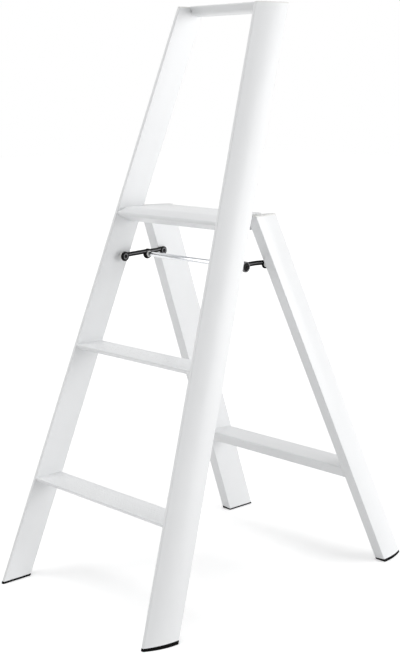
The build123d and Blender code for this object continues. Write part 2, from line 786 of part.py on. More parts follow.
# Spreader links: arched flat bars, the front pair joined by the lift bar, the rear pair cranked to the legs
front_root = (front_stud[0], front_stud[1] + front_link_lift)
front_crown = (middle_joint[0], middle_joint[1] + front_link_arch)
rear_crown = (middle_joint[0], middle_joint[1] + rear_link_arch)
rear_root = (rear_stud[0], rear_stud[1] + rear_link_lift)
rear_link_run = rear_stud[0] - middle_joint[0]
crank_front = middle_joint[0] + crank_start * rear_link_run
crank_back = middle_joint[0] + crank_end * rear_link_run
link_front_end = middle_joint[0] - 2 * joint_eye_radius
link_back_end = rear_stud[0] + 2 * rear_eye_radius
for hand, side in sides.items():
    with BuildPart() as front_link:
        with BuildSketch(Plane.YZ.offset(side * front_link_inner)):
            with Locations(front_stud):
                Circle(front_eye_radius)
            with Locations(middle_joint):
                Circle(bar_eye_radius)
            Polygon(*bar_corners(front_root, front_crown, link_width), align=None)
            with Locations(front_crown):
                Circle(link_width / 2)
            with Locations(front_stud):
                Circle(stud_radius + running_gap, mode=Mode.SUBTRACT)
            with Locations(middle_joint):
                Circle(lift_bar_radius + rivet_gap, mode=Mode.SUBTRACT)
        extrude(amount=side * link_wall)
    keep(front_link.part, f"{hand}_front_link")

    with BuildPart() as rear_link:
        with BuildSketch(Plane.YZ.offset(side * rear_link_inner)):
            with Locations(rear_stud):
                Circle(rear_eye_radius)
            with Locations(middle_joint):
                Circle(joint_eye_radius)
            Polygon(*bar_corners(rear_crown, rear_root, link_width), align=None)
            with Locations(rear_crown):
                Circle(link_width / 2)
            with Locations(rear_stud):
                Circle(stud_radius + running_gap, mode=Mode.SUBTRACT)
            with Locations(middle_joint):
                Circle(link_rivet_radius, mode=Mode.SUBTRACT)
        extrude(amount=side * (link_wall + rear_link_crank))
        with BuildSketch(Plane.XY.offset(middle_joint[1])):
            with BuildLine():
                Polyline(
                    (side * rear_link_inner, link_front_end),
                    (side * rear_link_inner, crank_front),
                    (side * rear_eye_inner, crank_back),
                    (side * rear_eye_inner, link_back_end),
                    (side * rear_eye_outer, link_back_end),
                    (side * rear_eye_outer, crank_back),
                    (side * (rear_link_inner + link_wall), crank_front),
                    (side * (rear_link_inner + link_wall), link_front_end),
                    close=True,
                )
            make_face()
        extrude(amount=2 * front_eye_radius, both=True, mode=Mode.INTERSECT)
    keep(rear_link.part, f"{hand}_rear_link")

    with BuildPart() as link_rivet:
        with BuildSketch(Plane.YZ.offset(side * rear_link_inner)):
            with Locations(middle_joint):
                Circle(link_rivet_radius - rivet_gap)
        extrude(amount=side * link_wall)
    keep(link_rivet.part, f"{hand}_link_rivet")

with BuildPart() as lift_bar:
    with BuildSketch(Plane.YZ):
        with Locations(middle_joint):
            Circle(lift_bar_radius)
    extrude(amount=front_link_outer, both=True)
keep(lift_bar.part, "lift_bar")

for hand, side in sides.items():
    with BuildPart() as bar_collar:
        with BuildSketch(Plane.YZ.offset(side * (front_link_inner - link_gap))):
            with Locations(middle_joint):
                Circle(collar_radius)
                Circle(lift_bar_radius + rivet_gap, mode=Mode.SUBTRACT)
        extrude(amount=-side * collar_length)
    keep(bar_collar.part, f"{hand}_bar_collar")
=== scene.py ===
"""Dress a white folding stepladder: its finishes, rubber feet, spreader, fasteners and a plain studio.

Lengths are in metres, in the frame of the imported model: X across, Y towards the back, Z up from the floor.
"""

import json
import logging
import math
from collections.abc import Callable, Iterator, Sequence
from contextlib import contextmanager
from dataclasses import dataclass
from enum import Enum
from typing import ClassVar

import bmesh
import bpy
from bmesh.types import BMEdge, BMFace
from bpy.types import Material, MeshPolygon, Node, NodeSocket, NodeTree, Object
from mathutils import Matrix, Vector


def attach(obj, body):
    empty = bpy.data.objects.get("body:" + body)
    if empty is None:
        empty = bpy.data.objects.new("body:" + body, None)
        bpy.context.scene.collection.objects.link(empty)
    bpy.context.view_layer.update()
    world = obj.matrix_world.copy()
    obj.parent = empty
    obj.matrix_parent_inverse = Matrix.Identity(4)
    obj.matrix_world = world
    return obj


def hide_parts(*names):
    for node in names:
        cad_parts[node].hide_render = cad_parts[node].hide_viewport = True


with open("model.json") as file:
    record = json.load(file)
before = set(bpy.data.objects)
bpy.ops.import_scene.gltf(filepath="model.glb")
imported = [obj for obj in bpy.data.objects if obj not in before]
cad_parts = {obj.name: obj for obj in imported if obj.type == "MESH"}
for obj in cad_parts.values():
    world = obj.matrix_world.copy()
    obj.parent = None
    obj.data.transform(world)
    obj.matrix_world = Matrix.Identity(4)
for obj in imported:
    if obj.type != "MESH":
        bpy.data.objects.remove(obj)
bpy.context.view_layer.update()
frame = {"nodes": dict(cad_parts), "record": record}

log = logging.getLogger("stepladder")

MM = 0.001
# Face mark for a grey highlight painted on black parts, standing in for light caught by ribs and rims
PAINTED_HIGHLIGHT_MARK = "rubbed"

# Least turn of an edge that stays sharp, in degrees, on pressed or moulded pieces and on turned ones
FLAT_CREASE = 35.0
ROUND_CREASE = 50.0

# Least share of a direction along an axis that counts as facing that way or running that way
FACING = 0.8

# Share of a quarter round's radius that its middle keeps from each of the two faces
ROUND_MIDDLE = 0.3

# Distance along an axis and radius, both in millimetres, from place to place on a turned piece
Stations = Sequence[tuple[float, float]]


class Side(Enum):
    """A side of the ladder as its user sees it; the value is its sign along X."""

    LEFT = -1
    RIGHT = 1

    @property
    def word(self) -> str:
        """Name of the side, as the nodes use it."""
        return self.name.lower()


class Body(Enum):
    """A group of pieces that moves as one."""

    FRONT = "front_frame"
    REAR = "rear_frame"
    LIFT = "lift_links"
    LEFT_REAR_LINK = "left_rear_link"
    RIGHT_REAR_LINK = "right_rear_link"


class Slot(Enum):
    """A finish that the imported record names."""

    WHITE_ENAMEL = "white_enamel"
    WHITE_NYLON = "white_nylon"
    BLACK_ENAMEL = "black_enamel"
    FOOT_RUBBER = "foot_rubber"
    ZINC_STEEL = "zinc_steel"


def linear(hex_colour: str) -> tuple[float, float, float, float]:
    """Turn an sRGB colour into linear light.

    Args:
        hex_colour: Six hex digits, red first.

    Returns:
        Red, green and blue in linear light, and a full alpha.
    """
    levels = [int(hex_colour[i:i + 2], 16) / 255 for i in (0, 2, 4)]
    red, green, blue = (v / 12.92 if v <= 0.04045 else ((v + 0.055) / 1.055) ** 2.4 for v in levels)
    return red, green, blue, 1.0


def add_node(
    tree: NodeTree,
    kind: str,
    settings: dict[str, object] | None = None,
    links: dict[str, NodeSocket] | None = None,
) -> Node:
    """Add a node, set its options and sockets, and link its inputs.

    Args:
        tree: Node tree that gets the node.
        kind: Blender's type name of the node.
        settings: Values by input name, or by property name where no input has that name.
        links: Output sockets by the name of the input that they feed.

    Returns:
        The new node.
    """
    node = tree.nodes.new(kind)
    for name, value in (settings or {}).items():
        if name in node.inputs:
            node.inputs[name].default_value = value
        else:
            setattr(node, name, value)
    for name, output in (links or {}).items():
        tree.links.new(output, node.inputs[name])
    return node


def add_math(tree: NodeTree, operation: str, first: NodeSocket, second: NodeSocket) -> NodeSocket:
    """Work out one value from two, by an operation that Blender names."""
    node = add_node(tree, "ShaderNodeMath", {"operation": operation})
    tree.links.new(first, node.inputs[0])
    tree.links.new(second, node.inputs[1])
    return node.outputs["Value"]


def add_noise(tree: NodeTree, place: NodeSocket, size_mm: float, detail: float) -> NodeSocket:
    """Add a cloudy pattern.

    Args:
        tree: Node tree that gets the pattern.
        place: Coordinates on the piece.
        size_mm: Distance between its features, in millimetres.
        detail: Number of finer patterns on top of it.

    Returns:
        Its value from 0 to 1.
    """
    settings = {"Scale": 1.0 / (size_mm * MM), "Detail": detail}
    return add_node(tree, "ShaderNodeTexNoise", settings, {"Vector": place}).outputs["Fac"]


@dataclass(frozen=True)
class Finish:
    """A surface finish: two close colours that drift over the surface, its gloss and its fine relief."""

    slot: Slot
    pale: str
    deep: str
    drift_mm: float
    gloss: tuple[float, float]
    relief_mm: float
    relief_depth_mm: float
    relief_strength: float

    METALLIC: ClassVar[float] = 0.0
    IOR: ClassVar[float] = 1.5
    SPECULAR: ClassVar[float] = 0.5
    DRIFT_DETAIL: ClassVar[float] = 3.0
    RELIEF_DETAIL: ClassVar[float] = 2.0
    DEEP_UP_TO: ClassVar[float] = 0.3
    PALE_FROM: ClassVar[float] = 0.7

    def material(self) -> Material:
        """Make a node material that is named for the finish."""
        material = bpy.data.materials.new(self.slot.value)
        material.use_nodes = True
        tree = material.node_tree
        shader = tree.nodes["Principled BSDF"]
        shader.inputs["Metallic"].default_value = self.METALLIC
        shader.inputs["IOR"].default_value = self.IOR
        shader.inputs["Specular IOR Level"].default_value = self.SPECULAR
        place = add_node(tree, "ShaderNodeTexCoord").outputs["Object"]
        self.colour(tree, shader, place)
        self.relief(tree, shader, place)
        return material

    def colour(self, tree: NodeTree, shader: Node, place: NodeSocket) -> None:
        """Drift the shader's colour and gloss slowly from place to place on the piece."""
        drift = add_noise(tree, place, self.drift_mm, self.DRIFT_DETAIL)
        ramp = add_node(tree, "ShaderNodeValToRGB", links={"Fac": self.tone(tree, drift)})
        ramp.color_ramp.elements[0].position = self.DEEP_UP_TO
        ramp.color_ramp.elements[0].color = linear(self.deep)
        ramp.color_ramp.elements[1].position = self.PALE_FROM
        ramp.color_ramp.elements[1].color = linear(self.pale)
        for position, colour in self.further_steps():
            ramp.color_ramp.elements.new(position).color = linear(colour)
        tree.links.new(ramp.outputs["Color"], shader.inputs["Base Color"])
        rough = add_node(
            tree, "ShaderNodeMapRange", {"To Min": self.gloss[0], "To Max": self.gloss[1]}, {"Value": drift}
        )
        tree.links.new(rough.outputs["Result"], shader.inputs["Roughness"])

    def tone(self, tree: NodeTree, drift: NodeSocket) -> NodeSocket:
        """Choose what places a point between the colours: the drift alone, if nothing else counts."""
        return drift

    def further_steps(self) -> list[tuple[float, str]]:
        """Colours past the pale one, with their places."""
        return []

    def relief(self, tree: NodeTree, shader: Node, place: NodeSocket) -> None:
        """Give the shader a fine relief that changes from place to place on the piece."""
        grain = add_noise(tree, place, self.relief_mm, self.RELIEF_DETAIL)
        bump = add_node(
            tree,
            "ShaderNodeBump",
            {"Strength": self.relief_strength, "Distance": self.relief_depth_mm * MM},
            {"Height": grain},
        )
        tree.links.new(bump.outputs["Normal"], shader.inputs["Normal"])


class PowderCoat(Finish):
    """Powder coat baked on aluminium: an opaque satin paint with a soft orange peel."""


class MouldedNylon(Finish):
    """Moulded nylon: a slightly milky plastic, dulled by its spark-eroded grain."""

    IOR = 1.53
    SPECULAR = 0.35


class DippedBlack(Finish):
    """Black dip coat baked on pressed steel: thin, even and matt, with a grey highlight painted on the
    marked faces.
    """

    SPECULAR = 0.1
    BLACK_UP_TO = 0.9
    # Grey of the highlight painted on the marked faces, and where it starts on the ramp
    RUBBED_FROM = 1.0
    RUBBED = "78787a"

    def tone(self, tree: NodeTree, drift: NodeSocket) -> NodeSocket:
        """Lift the faces that are marked for the painted highlight past the black tones."""
        rubbed = add_node(tree, "ShaderNodeAttribute", {"attribute_name": PAINTED_HIGHLIGHT_MARK}).outputs["Fac"]
        return add_math(tree, "ADD", drift, rubbed)

    def further_steps(self) -> list[tuple[float, str]]:
        """The grey of the painted highlight, clear of the drift's range."""
        return [(self.BLACK_UP_TO, self.pale), (self.RUBBED_FROM, self.RUBBED)]


class MouldedRubber(Finish):
    """Moulded rubber: black and pebbled, with hardly any shine."""

    IOR = 1.52
    SPECULAR = 0.06


class ZincPlate(Finish):
    """Zinc plate on steel: a pale, cloudy metal."""

    METALLIC = 1.0


# Each has its pale and deep colour, the drift's size, the roughness from least to most, and the relief's
# size, depth and strength. The relief of paint, plastic and rubber is under a millimetre on the real ladder.
# It is drawn two or three times as coarse, so that it still shows from a step away.
FINISHES: tuple[Finish, ...] = (
    PowderCoat(Slot.WHITE_ENAMEL, "eeeff0", "ebeced", 140.0, (0.28, 0.36), 2.4, 0.04, 0.25),
    MouldedNylon(Slot.WHITE_NYLON, "ededeb", "e8e8e6", 30.0, (0.5, 0.62), 0.9, 0.06, 0.5),
    DippedBlack(Slot.BLACK_ENAMEL, "0b0b0c", "070708", 12.0, (0.3, 0.42), 1.1, 0.03, 0.35),
    MouldedRubber(Slot.FOOT_RUBBER, "0c0c0c", "070707", 16.0, (0.7, 0.85), 1.3, 0.12, 0.7),
    ZincPlate(Slot.ZINC_STEEL, "e9eaec", "dcdee1", 3.0, (0.16, 0.26), 0.8, 0.01, 0.2),
)


class Workpiece:
    """A mesh on the bench, shaped in edit mode by the steps that a person would take."""

    def __init__(self, name: str) -> None:
        """Name the piece that the next primitive starts."""
        self.name = name
        self.obj: Object

    def hold(self) -> None:
        """Select this piece alone and make it the active one."""
        bpy.ops.object.select_all(action="DESELECT")
        self.obj.select_set(True)
        bpy.context.view_layer.objects.active = self.obj

    def take(self) -> None:
        """Take up the object that was just added, with its place in its mesh."""
        self.obj = bpy.context.active_object
        self.obj.name = self.name
        self.obj.data.name = self.name
        bpy.ops.object.transform_apply(location=True, rotation=True, scale=True)

    def disc(self, radius: float, centre: Vector, across: bool, vertices: int, filled: bool = True) -> None:
        """Start from a round disc or a bare circle.

        Args:
            radius: Radius of the disc.
            centre: Its centre.
            across: Whether its axis runs along X instead of Z.
            vertices: Points round its rim.
            filled: Whether it has a face.
        """
        bpy.ops.object.select_all(action="DESELECT")
        bpy.ops.mesh.primitive_circle_add(
            vertices=vertices,
            radius=radius,
            fill_type="NGON" if filled else "NOTHING",
            location=centre,
            rotation=(0, math.pi / 2, 0) if across else (0, 0, math.pi / vertices),
        )
        self.take()

    def block(self, size: Vector, centre: Vector, tilt: float) -> None:
        """Start from a box.

        Args:
            size: Its lengths along X, Y and Z before it is tilted.
            centre: Its middle.
            tilt: Turn about X, in radians.
        """
        bpy.ops.object.select_all(action="DESELECT")
        bpy.ops.mesh.primitive_cube_add(size=1, location=centre, rotation=(tilt, 0, 0), scale=size)
        self.take()

    @contextmanager
    def editing(self) -> Iterator[None]:
        """Work in edit mode, with everything selected at first."""
        self.hold()
        bpy.ops.object.mode_set(mode="EDIT")
        bpy.ops.mesh.select_mode(type="FACE")
        bpy.ops.mesh.select_all(action="SELECT")
        try:
            yield
        finally:
            bpy.ops.object.mode_set(mode="OBJECT")

    def pick_faces(self, test: Callable[[BMFace], bool]) -> None:
        """Select the faces that pass a test, and nothing else."""
        self.pick("FACE", test)

    def pick_edges(self, test: Callable[[BMEdge], bool]) -> None:
        """Select the edges that pass a test, and nothing else."""
        self.pick("EDGE", test)

    def pick(self, kind: str, test: Callable[[BMFace | BMEdge], bool]) -> None:
        """Select the faces or the edges that pass a test, and nothing else."""
        bpy.ops.mesh.select_mode(type=kind)
        bpy.ops.mesh.select_all(action="DESELECT")
        mesh = bmesh.from_edit_mesh(self.obj.data)
        for element in mesh.faces if kind == "FACE" else mesh.edges:
            element.select_set(test(element))
        bmesh.update_edit_mesh(self.obj.data)

    def cut(
        self, point: Sequence[float], normal: Sequence[float], clear: bool = True, fill: bool = False
    ) -> None:
        """Cut what is selected with a plane.

        Args:
            point: A point on the plane.
            normal: Its direction; what lies on that side is cleared away.
            clear: Whether anything is cleared.
            fill: Whether the cut is closed with a face.
        """
        bpy.ops.mesh.bisect(plane_co=point, plane_no=normal, clear_outer=clear, use_fill=fill)

    def pull(self, shift: Sequence[float]) -> None:
        """Extrude what is selected by a shift."""
        bpy.ops.mesh.extrude_region_move(TRANSFORM_OT_translate={"value": shift})

    def grow(self, value: Sequence[float], centre: Sequence[float]) -> None:
        """Scale what is selected about a centre."""
        bpy.ops.transform.resize(value=value, center_override=centre)

    def tidy(self, merge: float = 0.002 * MM) -> None:
        """Merge points that lie closer than a distance, and turn every face outwards."""
        with self.editing():
            bpy.ops.mesh.remove_doubles(threshold=merge)
            bpy.ops.mesh.select_all(action="SELECT")
            bpy.ops.mesh.normals_make_consistent(inside=False)

    def bevel(self, test: Callable[[BMEdge], bool], width: float, segments: int) -> None:
        """Bevel the edges that pass a test.

        Args:
            test: Tells whether an edge is bevelled.
            width: Width of the bevel on each side of the edge.
            segments: Steps across it.
        """
        with self.editing():
            self.pick_edges(test)
            bpy.ops.mesh.bevel(offset=width, segments=segments, affect="EDGES")

    def combine(self, other: "Workpiece", operation: str) -> None:
        """Unite another piece with this one, or cut it away, and throw the other one out.

        Args:
            other: The piece that is used up.
            operation: UNION or DIFFERENCE.
        """
        self.hold()
        modifier = self.obj.modifiers.new("combine", "BOOLEAN")
        modifier.operation, modifier.object, modifier.solver = operation, other.obj, "EXACT"
        bpy.ops.object.modifier_apply(modifier=modifier.name)
        bpy.data.objects.remove(other.obj)

    def smooth(self, angle: float) -> None:
        """Shade the piece smooth, apart from edges that turn more than an angle in degrees."""
        self.hold()
        bpy.ops.object.shade_smooth_by_angle(angle=math.radians(angle))

    def rub(self, test: Callable[[MeshPolygon], bool]) -> None:
        """Mark the faces that pass a test for the painted grey highlight."""
        marks = self.obj.data.attributes.new(PAINTED_HIGHLIGHT_MARK, "FLOAT", "FACE")
        marks.data.foreach_set("value", [float(test(face)) for face in self.obj.data.polygons])

    def turned(
        self, foot: Vector, sign: int, stations: Stations, vertices: int = 48, ring: bool = False
    ) -> None:
        """Turn a solid or a ring about an axis along X, by drawing a circle from station to station.

        Args:
            foot: Point on the axis that the stations are measured from.
            sign: Direction of the stations along X.
            stations: The solid's outline from one end to the other, or the ring's section once round.
            vertices: Points round the piece.
            ring: Whether it is a ring.
        """
        course = [*stations, stations[0]] if ring else stations
        spots = [(foot + Vector((sign * along * MM, 0, 0)), radius * MM) for along, radius in course]
        self.disc(spots[0][1], spots[0][0], True, vertices, filled=not ring)
        with self.editing():
            if ring:
                bpy.ops.mesh.select_mode(type="EDGE")
                bpy.ops.mesh.select_all(action="SELECT")
            for (last, last_radius), (spot, radius) in zip(spots, spots[1:]):
                self.pull(spot - last)
                ratio = radius / last_radius
                self.grow((1, ratio, ratio), spot)
        self.tidy()

    def mirrored(self, name: str) -> "Workpiece":
        """Copy the piece under a new name to the other side of the ladder, with its own mesh."""
        copy = Workpiece(name)
        self.hold()
        bpy.ops.object.duplicate()
        copy.take()
        with copy.editing():
            copy.grow((-1, 1, 1), (0, 0, 0))
        copy.tidy()
        return copy

    def repeated(self, spots: Sequence[tuple[Vector, Vector]]) -> None:
        """Put a copy of the piece at each spot, as one mesh.

        Args:
            spots: Place of each copy's origin, and the direction that its X axis takes.
        """
        pattern, copies = self.obj, []
        for place, direction in spots:
            self.obj = pattern
            self.hold()
            bpy.ops.object.duplicate()
            copy = bpy.context.active_object
            copy.location = place
            copy.rotation_euler = direction.to_track_quat("X", "Z").to_euler()
            copies.append(copy)
        bpy.data.objects.remove(pattern)
        for copy in copies:
            copy.select_set(True)
        bpy.context.view_layer.objects.active = copies[0]
        bpy.ops.object.join()
        self.take()


class Workshop:
    """Holds the finishes, and hands each finished piece over to the body that carries it."""

    def __init__(self) -> None:
        """Make every finish once."""
        self.materials = {finish.slot: finish.material() for finish in FINISHES}

    def paint(self, obj: Object, slot: Slot) -> None:
        """Give an object one finish all over."""
        obj.data.materials.clear()
        obj.data.materials.append(self.materials[slot])

    def paint_frame(self) -> None:
        """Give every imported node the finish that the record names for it."""
        for part in frame["record"]["subparts"]:
            self.paint(frame["nodes"][part["node"]], Slot(part["material_slot"]))
            log.info("painted %s with %s", part["node"], part["material_slot"])

    def hand_over(self, piece: Workpiece, body: Body, slot: Slot, *nodes: str) -> None:
        """Paint a piece, let it ride on its body, and let it stand for the nodes that it replaces.

        Args:
            piece: The finished piece.
            body: Body that carries it.
            slot: Its finish.
            *nodes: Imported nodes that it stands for.
        """
        self.paint(piece.obj, slot)
        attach(piece.obj, body.value)
        if nodes:
            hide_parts(*nodes)
        log.info("made %s on %s", piece.name, body.value)

    def hand_over_pair(
        self, left: Workpiece, bodies: tuple[Body, Body], slot: Slot, crease: float, node: str = ""
    ) -> None:
        """Mirror a left piece, shade both of the pair, and hand them over.

        Args:
            left: The finished left piece, whose name starts with its side.
            bodies: Bodies that carry the left piece and the right one.
            slot: Their finish.
            crease: Least turn of an edge that stays sharp, in degrees.
            node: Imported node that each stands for, without its side; empty if there is none.
        """
        right = left.mirrored(left.name.replace(Side.LEFT.word, Side.RIGHT.word, 1))
        for piece, side, body in zip((left, right), Side, bodies):
            piece.smooth(crease)
            nodes = [f"{side.word}_{node}"] if node else []
            self.hand_over(piece, body, slot, *nodes)


@dataclass(frozen=True)
class Upright:
    """Level section of a stile or a rear leg at the floor, and how it leans from there."""

    inner: float
    front: float
    depth: float
    front_width: float
    back_width: float
    lean: float
    draw: float
    foot_height: float

    @property
    def bow(self) -> float:
        """Radius of the bowed outer face."""
        drop = abs(self.back_width - self.front_width)
        return (drop**2 + self.depth**2) / (2 * drop)

    @property
    def bow_centre(self) -> Vector:
        """Centre of the left upright's bowed outer face at the floor."""
        wide = max(self.front_width, self.back_width)
        back = self.depth if self.back_width > self.front_width else 0.0
        return Vector((self.bow - self.inner - wide, self.front + back, 0))

    @property
    def rise(self) -> Vector:
        """Direction in which the left upright leaves the floor, one metre high."""
        return Vector((self.draw, self.lean, 1))

    def inner_at(self, height: float) -> float:
        """Distance from the middle of the ladder to the inner face."""
        return self.inner - self.draw * height

    def front_at(self, height: float) -> float:
        """Place of the front edge."""
        return self.front + self.lean * height


STILE = Upright(
    inner=223.1 * MM,
    front=-384.7 * MM,
    depth=71.9 * MM,
    front_width=7.0 * MM,
    back_width=28.2 * MM,
    lean=math.tan(math.radians(18.82)),
    draw=math.tan(math.radians(5.41)),
    foot_height=5.1 * MM,
)
LEG = Upright(
    inner=230.9 * MM,
    front=307.4 * MM,
    depth=77.3 * MM,
    front_width=26.9 * MM,
    back_width=8.4 * MM,
    lean=-math.tan(math.radians(23.36)),
    draw=math.tan(math.radians(5.85)),
    foot_height=4.0 * MM,
)


@dataclass
class RubberFeet:
    """A pair of rubber feet plugged into the ends of two uprights, with ribbed soles."""

    upright: Upright
    kind: str
    body: Body
    stock: float = 14 * MM
    corner: float = 1.5 * MM
    corner_steps: int = 4
    corner_merge: float = 0.075 * MM
    sole_edge: float = 0.6 * MM
    sole_steps: int = 3
    sole_slack: float = 0.01 * MM
    sharp_radians: float = 0.3
    plug_inset: float = 2.45 * MM
    plug_start: float = 1.5 * MM
    plug: float = 20 * MM
    rim: float = 3 * MM
    groove_count: int = 11
    groove_depth: float = 0.8 * MM
    bow_vertices: int = 80
    short_edge: float = 0.3 * MM

    def build(self, shop: Workshop) -> None:
        """Model the left foot, mirror it, and hand both over."""
        left = Workpiece(f"left_{self.kind}_rubber")
        self.shape_band(left)
        self.shape_plug(left)
        self.shape_sole(left)
        left.tidy()
        shop.hand_over_pair(left, (self.body, self.body), Slot.FOOT_RUBBER, FLAT_CREASE, self.kind)

    def outline(self, piece: Workpiece, inset: float) -> None:
        """Cut the left upright's level section at the floor out of a disc.

        Args:
            piece: The piece that the section starts.
            inset: How far it lies inside the upright's faces.
        """
        upright = self.upright
        piece.disc(upright.bow - inset, upright.bow_centre, False, self.bow_vertices)
        for point, normal in (
            ((-upright.inner - inset, 0, 0), (1, 0, 0)),
            ((0, upright.front + inset, 0), (0, -1, 0)),
            ((0, upright.front + upright.depth - inset, 0), (0, 1, 0)),
        ):
            with piece.editing():
                piece.cut(point, normal)
        piece.tidy(self.short_edge)

    def shape_band(self, piece: Workpiece) -> None:
        """Draw the section up along the lean, trim its top and round its edges."""
        upright = self.upright
        self.outline(piece, 0)
        with piece.editing():
            piece.pull(self.stock * upright.rise)
        piece.tidy()
        with piece.editing():
            height = upright.foot_height
            piece.cut((-upright.inner_at(height), 0, height), (upright.draw, 0, 1), fill=True)
        piece.tidy()
        piece.bevel(self.is_corner, self.corner, self.corner_steps)
        piece.tidy(self.corner_merge)
        piece.bevel(self.is_sole_edge, self.sole_edge, self.sole_steps)
        piece.tidy()

    def is_corner(self, edge: BMEdge) -> bool:
        """Tell whether an edge of the band is sharp and rises."""
        rise = abs(edge.verts[0].co.z - edge.verts[1].co.z)
        return rise > MM and edge.calc_face_angle(0) > self.sharp_radians

    def is_sole_edge(self, edge: BMEdge) -> bool:
        """Tell whether an edge of the band is sharp and runs round the sole."""
        top = max(v.co.z for v in edge.verts)
        return top < self.sole_slack and edge.calc_face_angle(0) > self.sharp_radians

    def shape_plug(self, piece: Workpiece) -> None:
        """Add the plug that holds the foot in the hollow upright."""
        plug = Workpiece("plug")
        self.outline(plug, self.plug_inset)
        with plug.editing():
            bpy.ops.transform.translate(value=self.plug_start * self.upright.rise)
            plug.pull(self.plug * self.upright.rise)
        plug.tidy()
        piece.combine(plug, "UNION")

    def shape_sole(self, piece: Workpiece) -> None:
        """Cut grooves across the sole, inside a plain rim."""
        first = self.upright.front + self.rim
        pitch = (self.upright.depth - 2 * self.rim) / (2 * self.groove_count + 1)
        for row in range(self.groove_count):
            start = first + (2 * row + 1) * pitch
            groove = Workpiece("groove")
            self.outline(groove, self.rim)
            for y, way in ((start, -1), (start + pitch, 1)):
                with groove.editing():
                    groove.cut((0, y, 0), (0, way, 0))
            with groove.editing():
                bpy.ops.transform.translate(value=(0, 0, -self.groove_depth))
                groove.pull((0, 0, 2 * self.groove_depth))
            groove.tidy()
            piece.combine(groove, "DIFFERENCE")


@dataclass(frozen=True)
class Pivot:
    """An axis across the ladder: its place along Y and its height."""

    y: float
    z: float

    def at(self, x: float) -> Vector:
        """Point on the axis."""
        return Vector((x, self.y, self.z))


FRONT_PIVOT = Pivot(-100.2 * MM, 685.9 * MM)
MIDDLE_PIVOT = Pivot(-33.5 * MM, 685.9 * MM)
REAR_PIVOT = Pivot(17.6 * MM, 687.9 * MM)
HINGE = Pivot(-4.2 * MM, 772.2 * MM)


def rounded_bar(length: float, radius: float, edge: float) -> Stations:
    """Outline of a round bar or disc with rounded ends.

    Args:
        length: Its length, in millimetres.
        radius: Its radius, in millimetres.
        edge: Width of the rounding, in millimetres.

    Returns:
        The stations of the outline.
    """
    bend = ROUND_MIDDLE * edge
    start = [(0, radius - edge), (bend, radius - bend), (edge, radius)]
    return start + [(length - along, width) for along, width in reversed(start)]


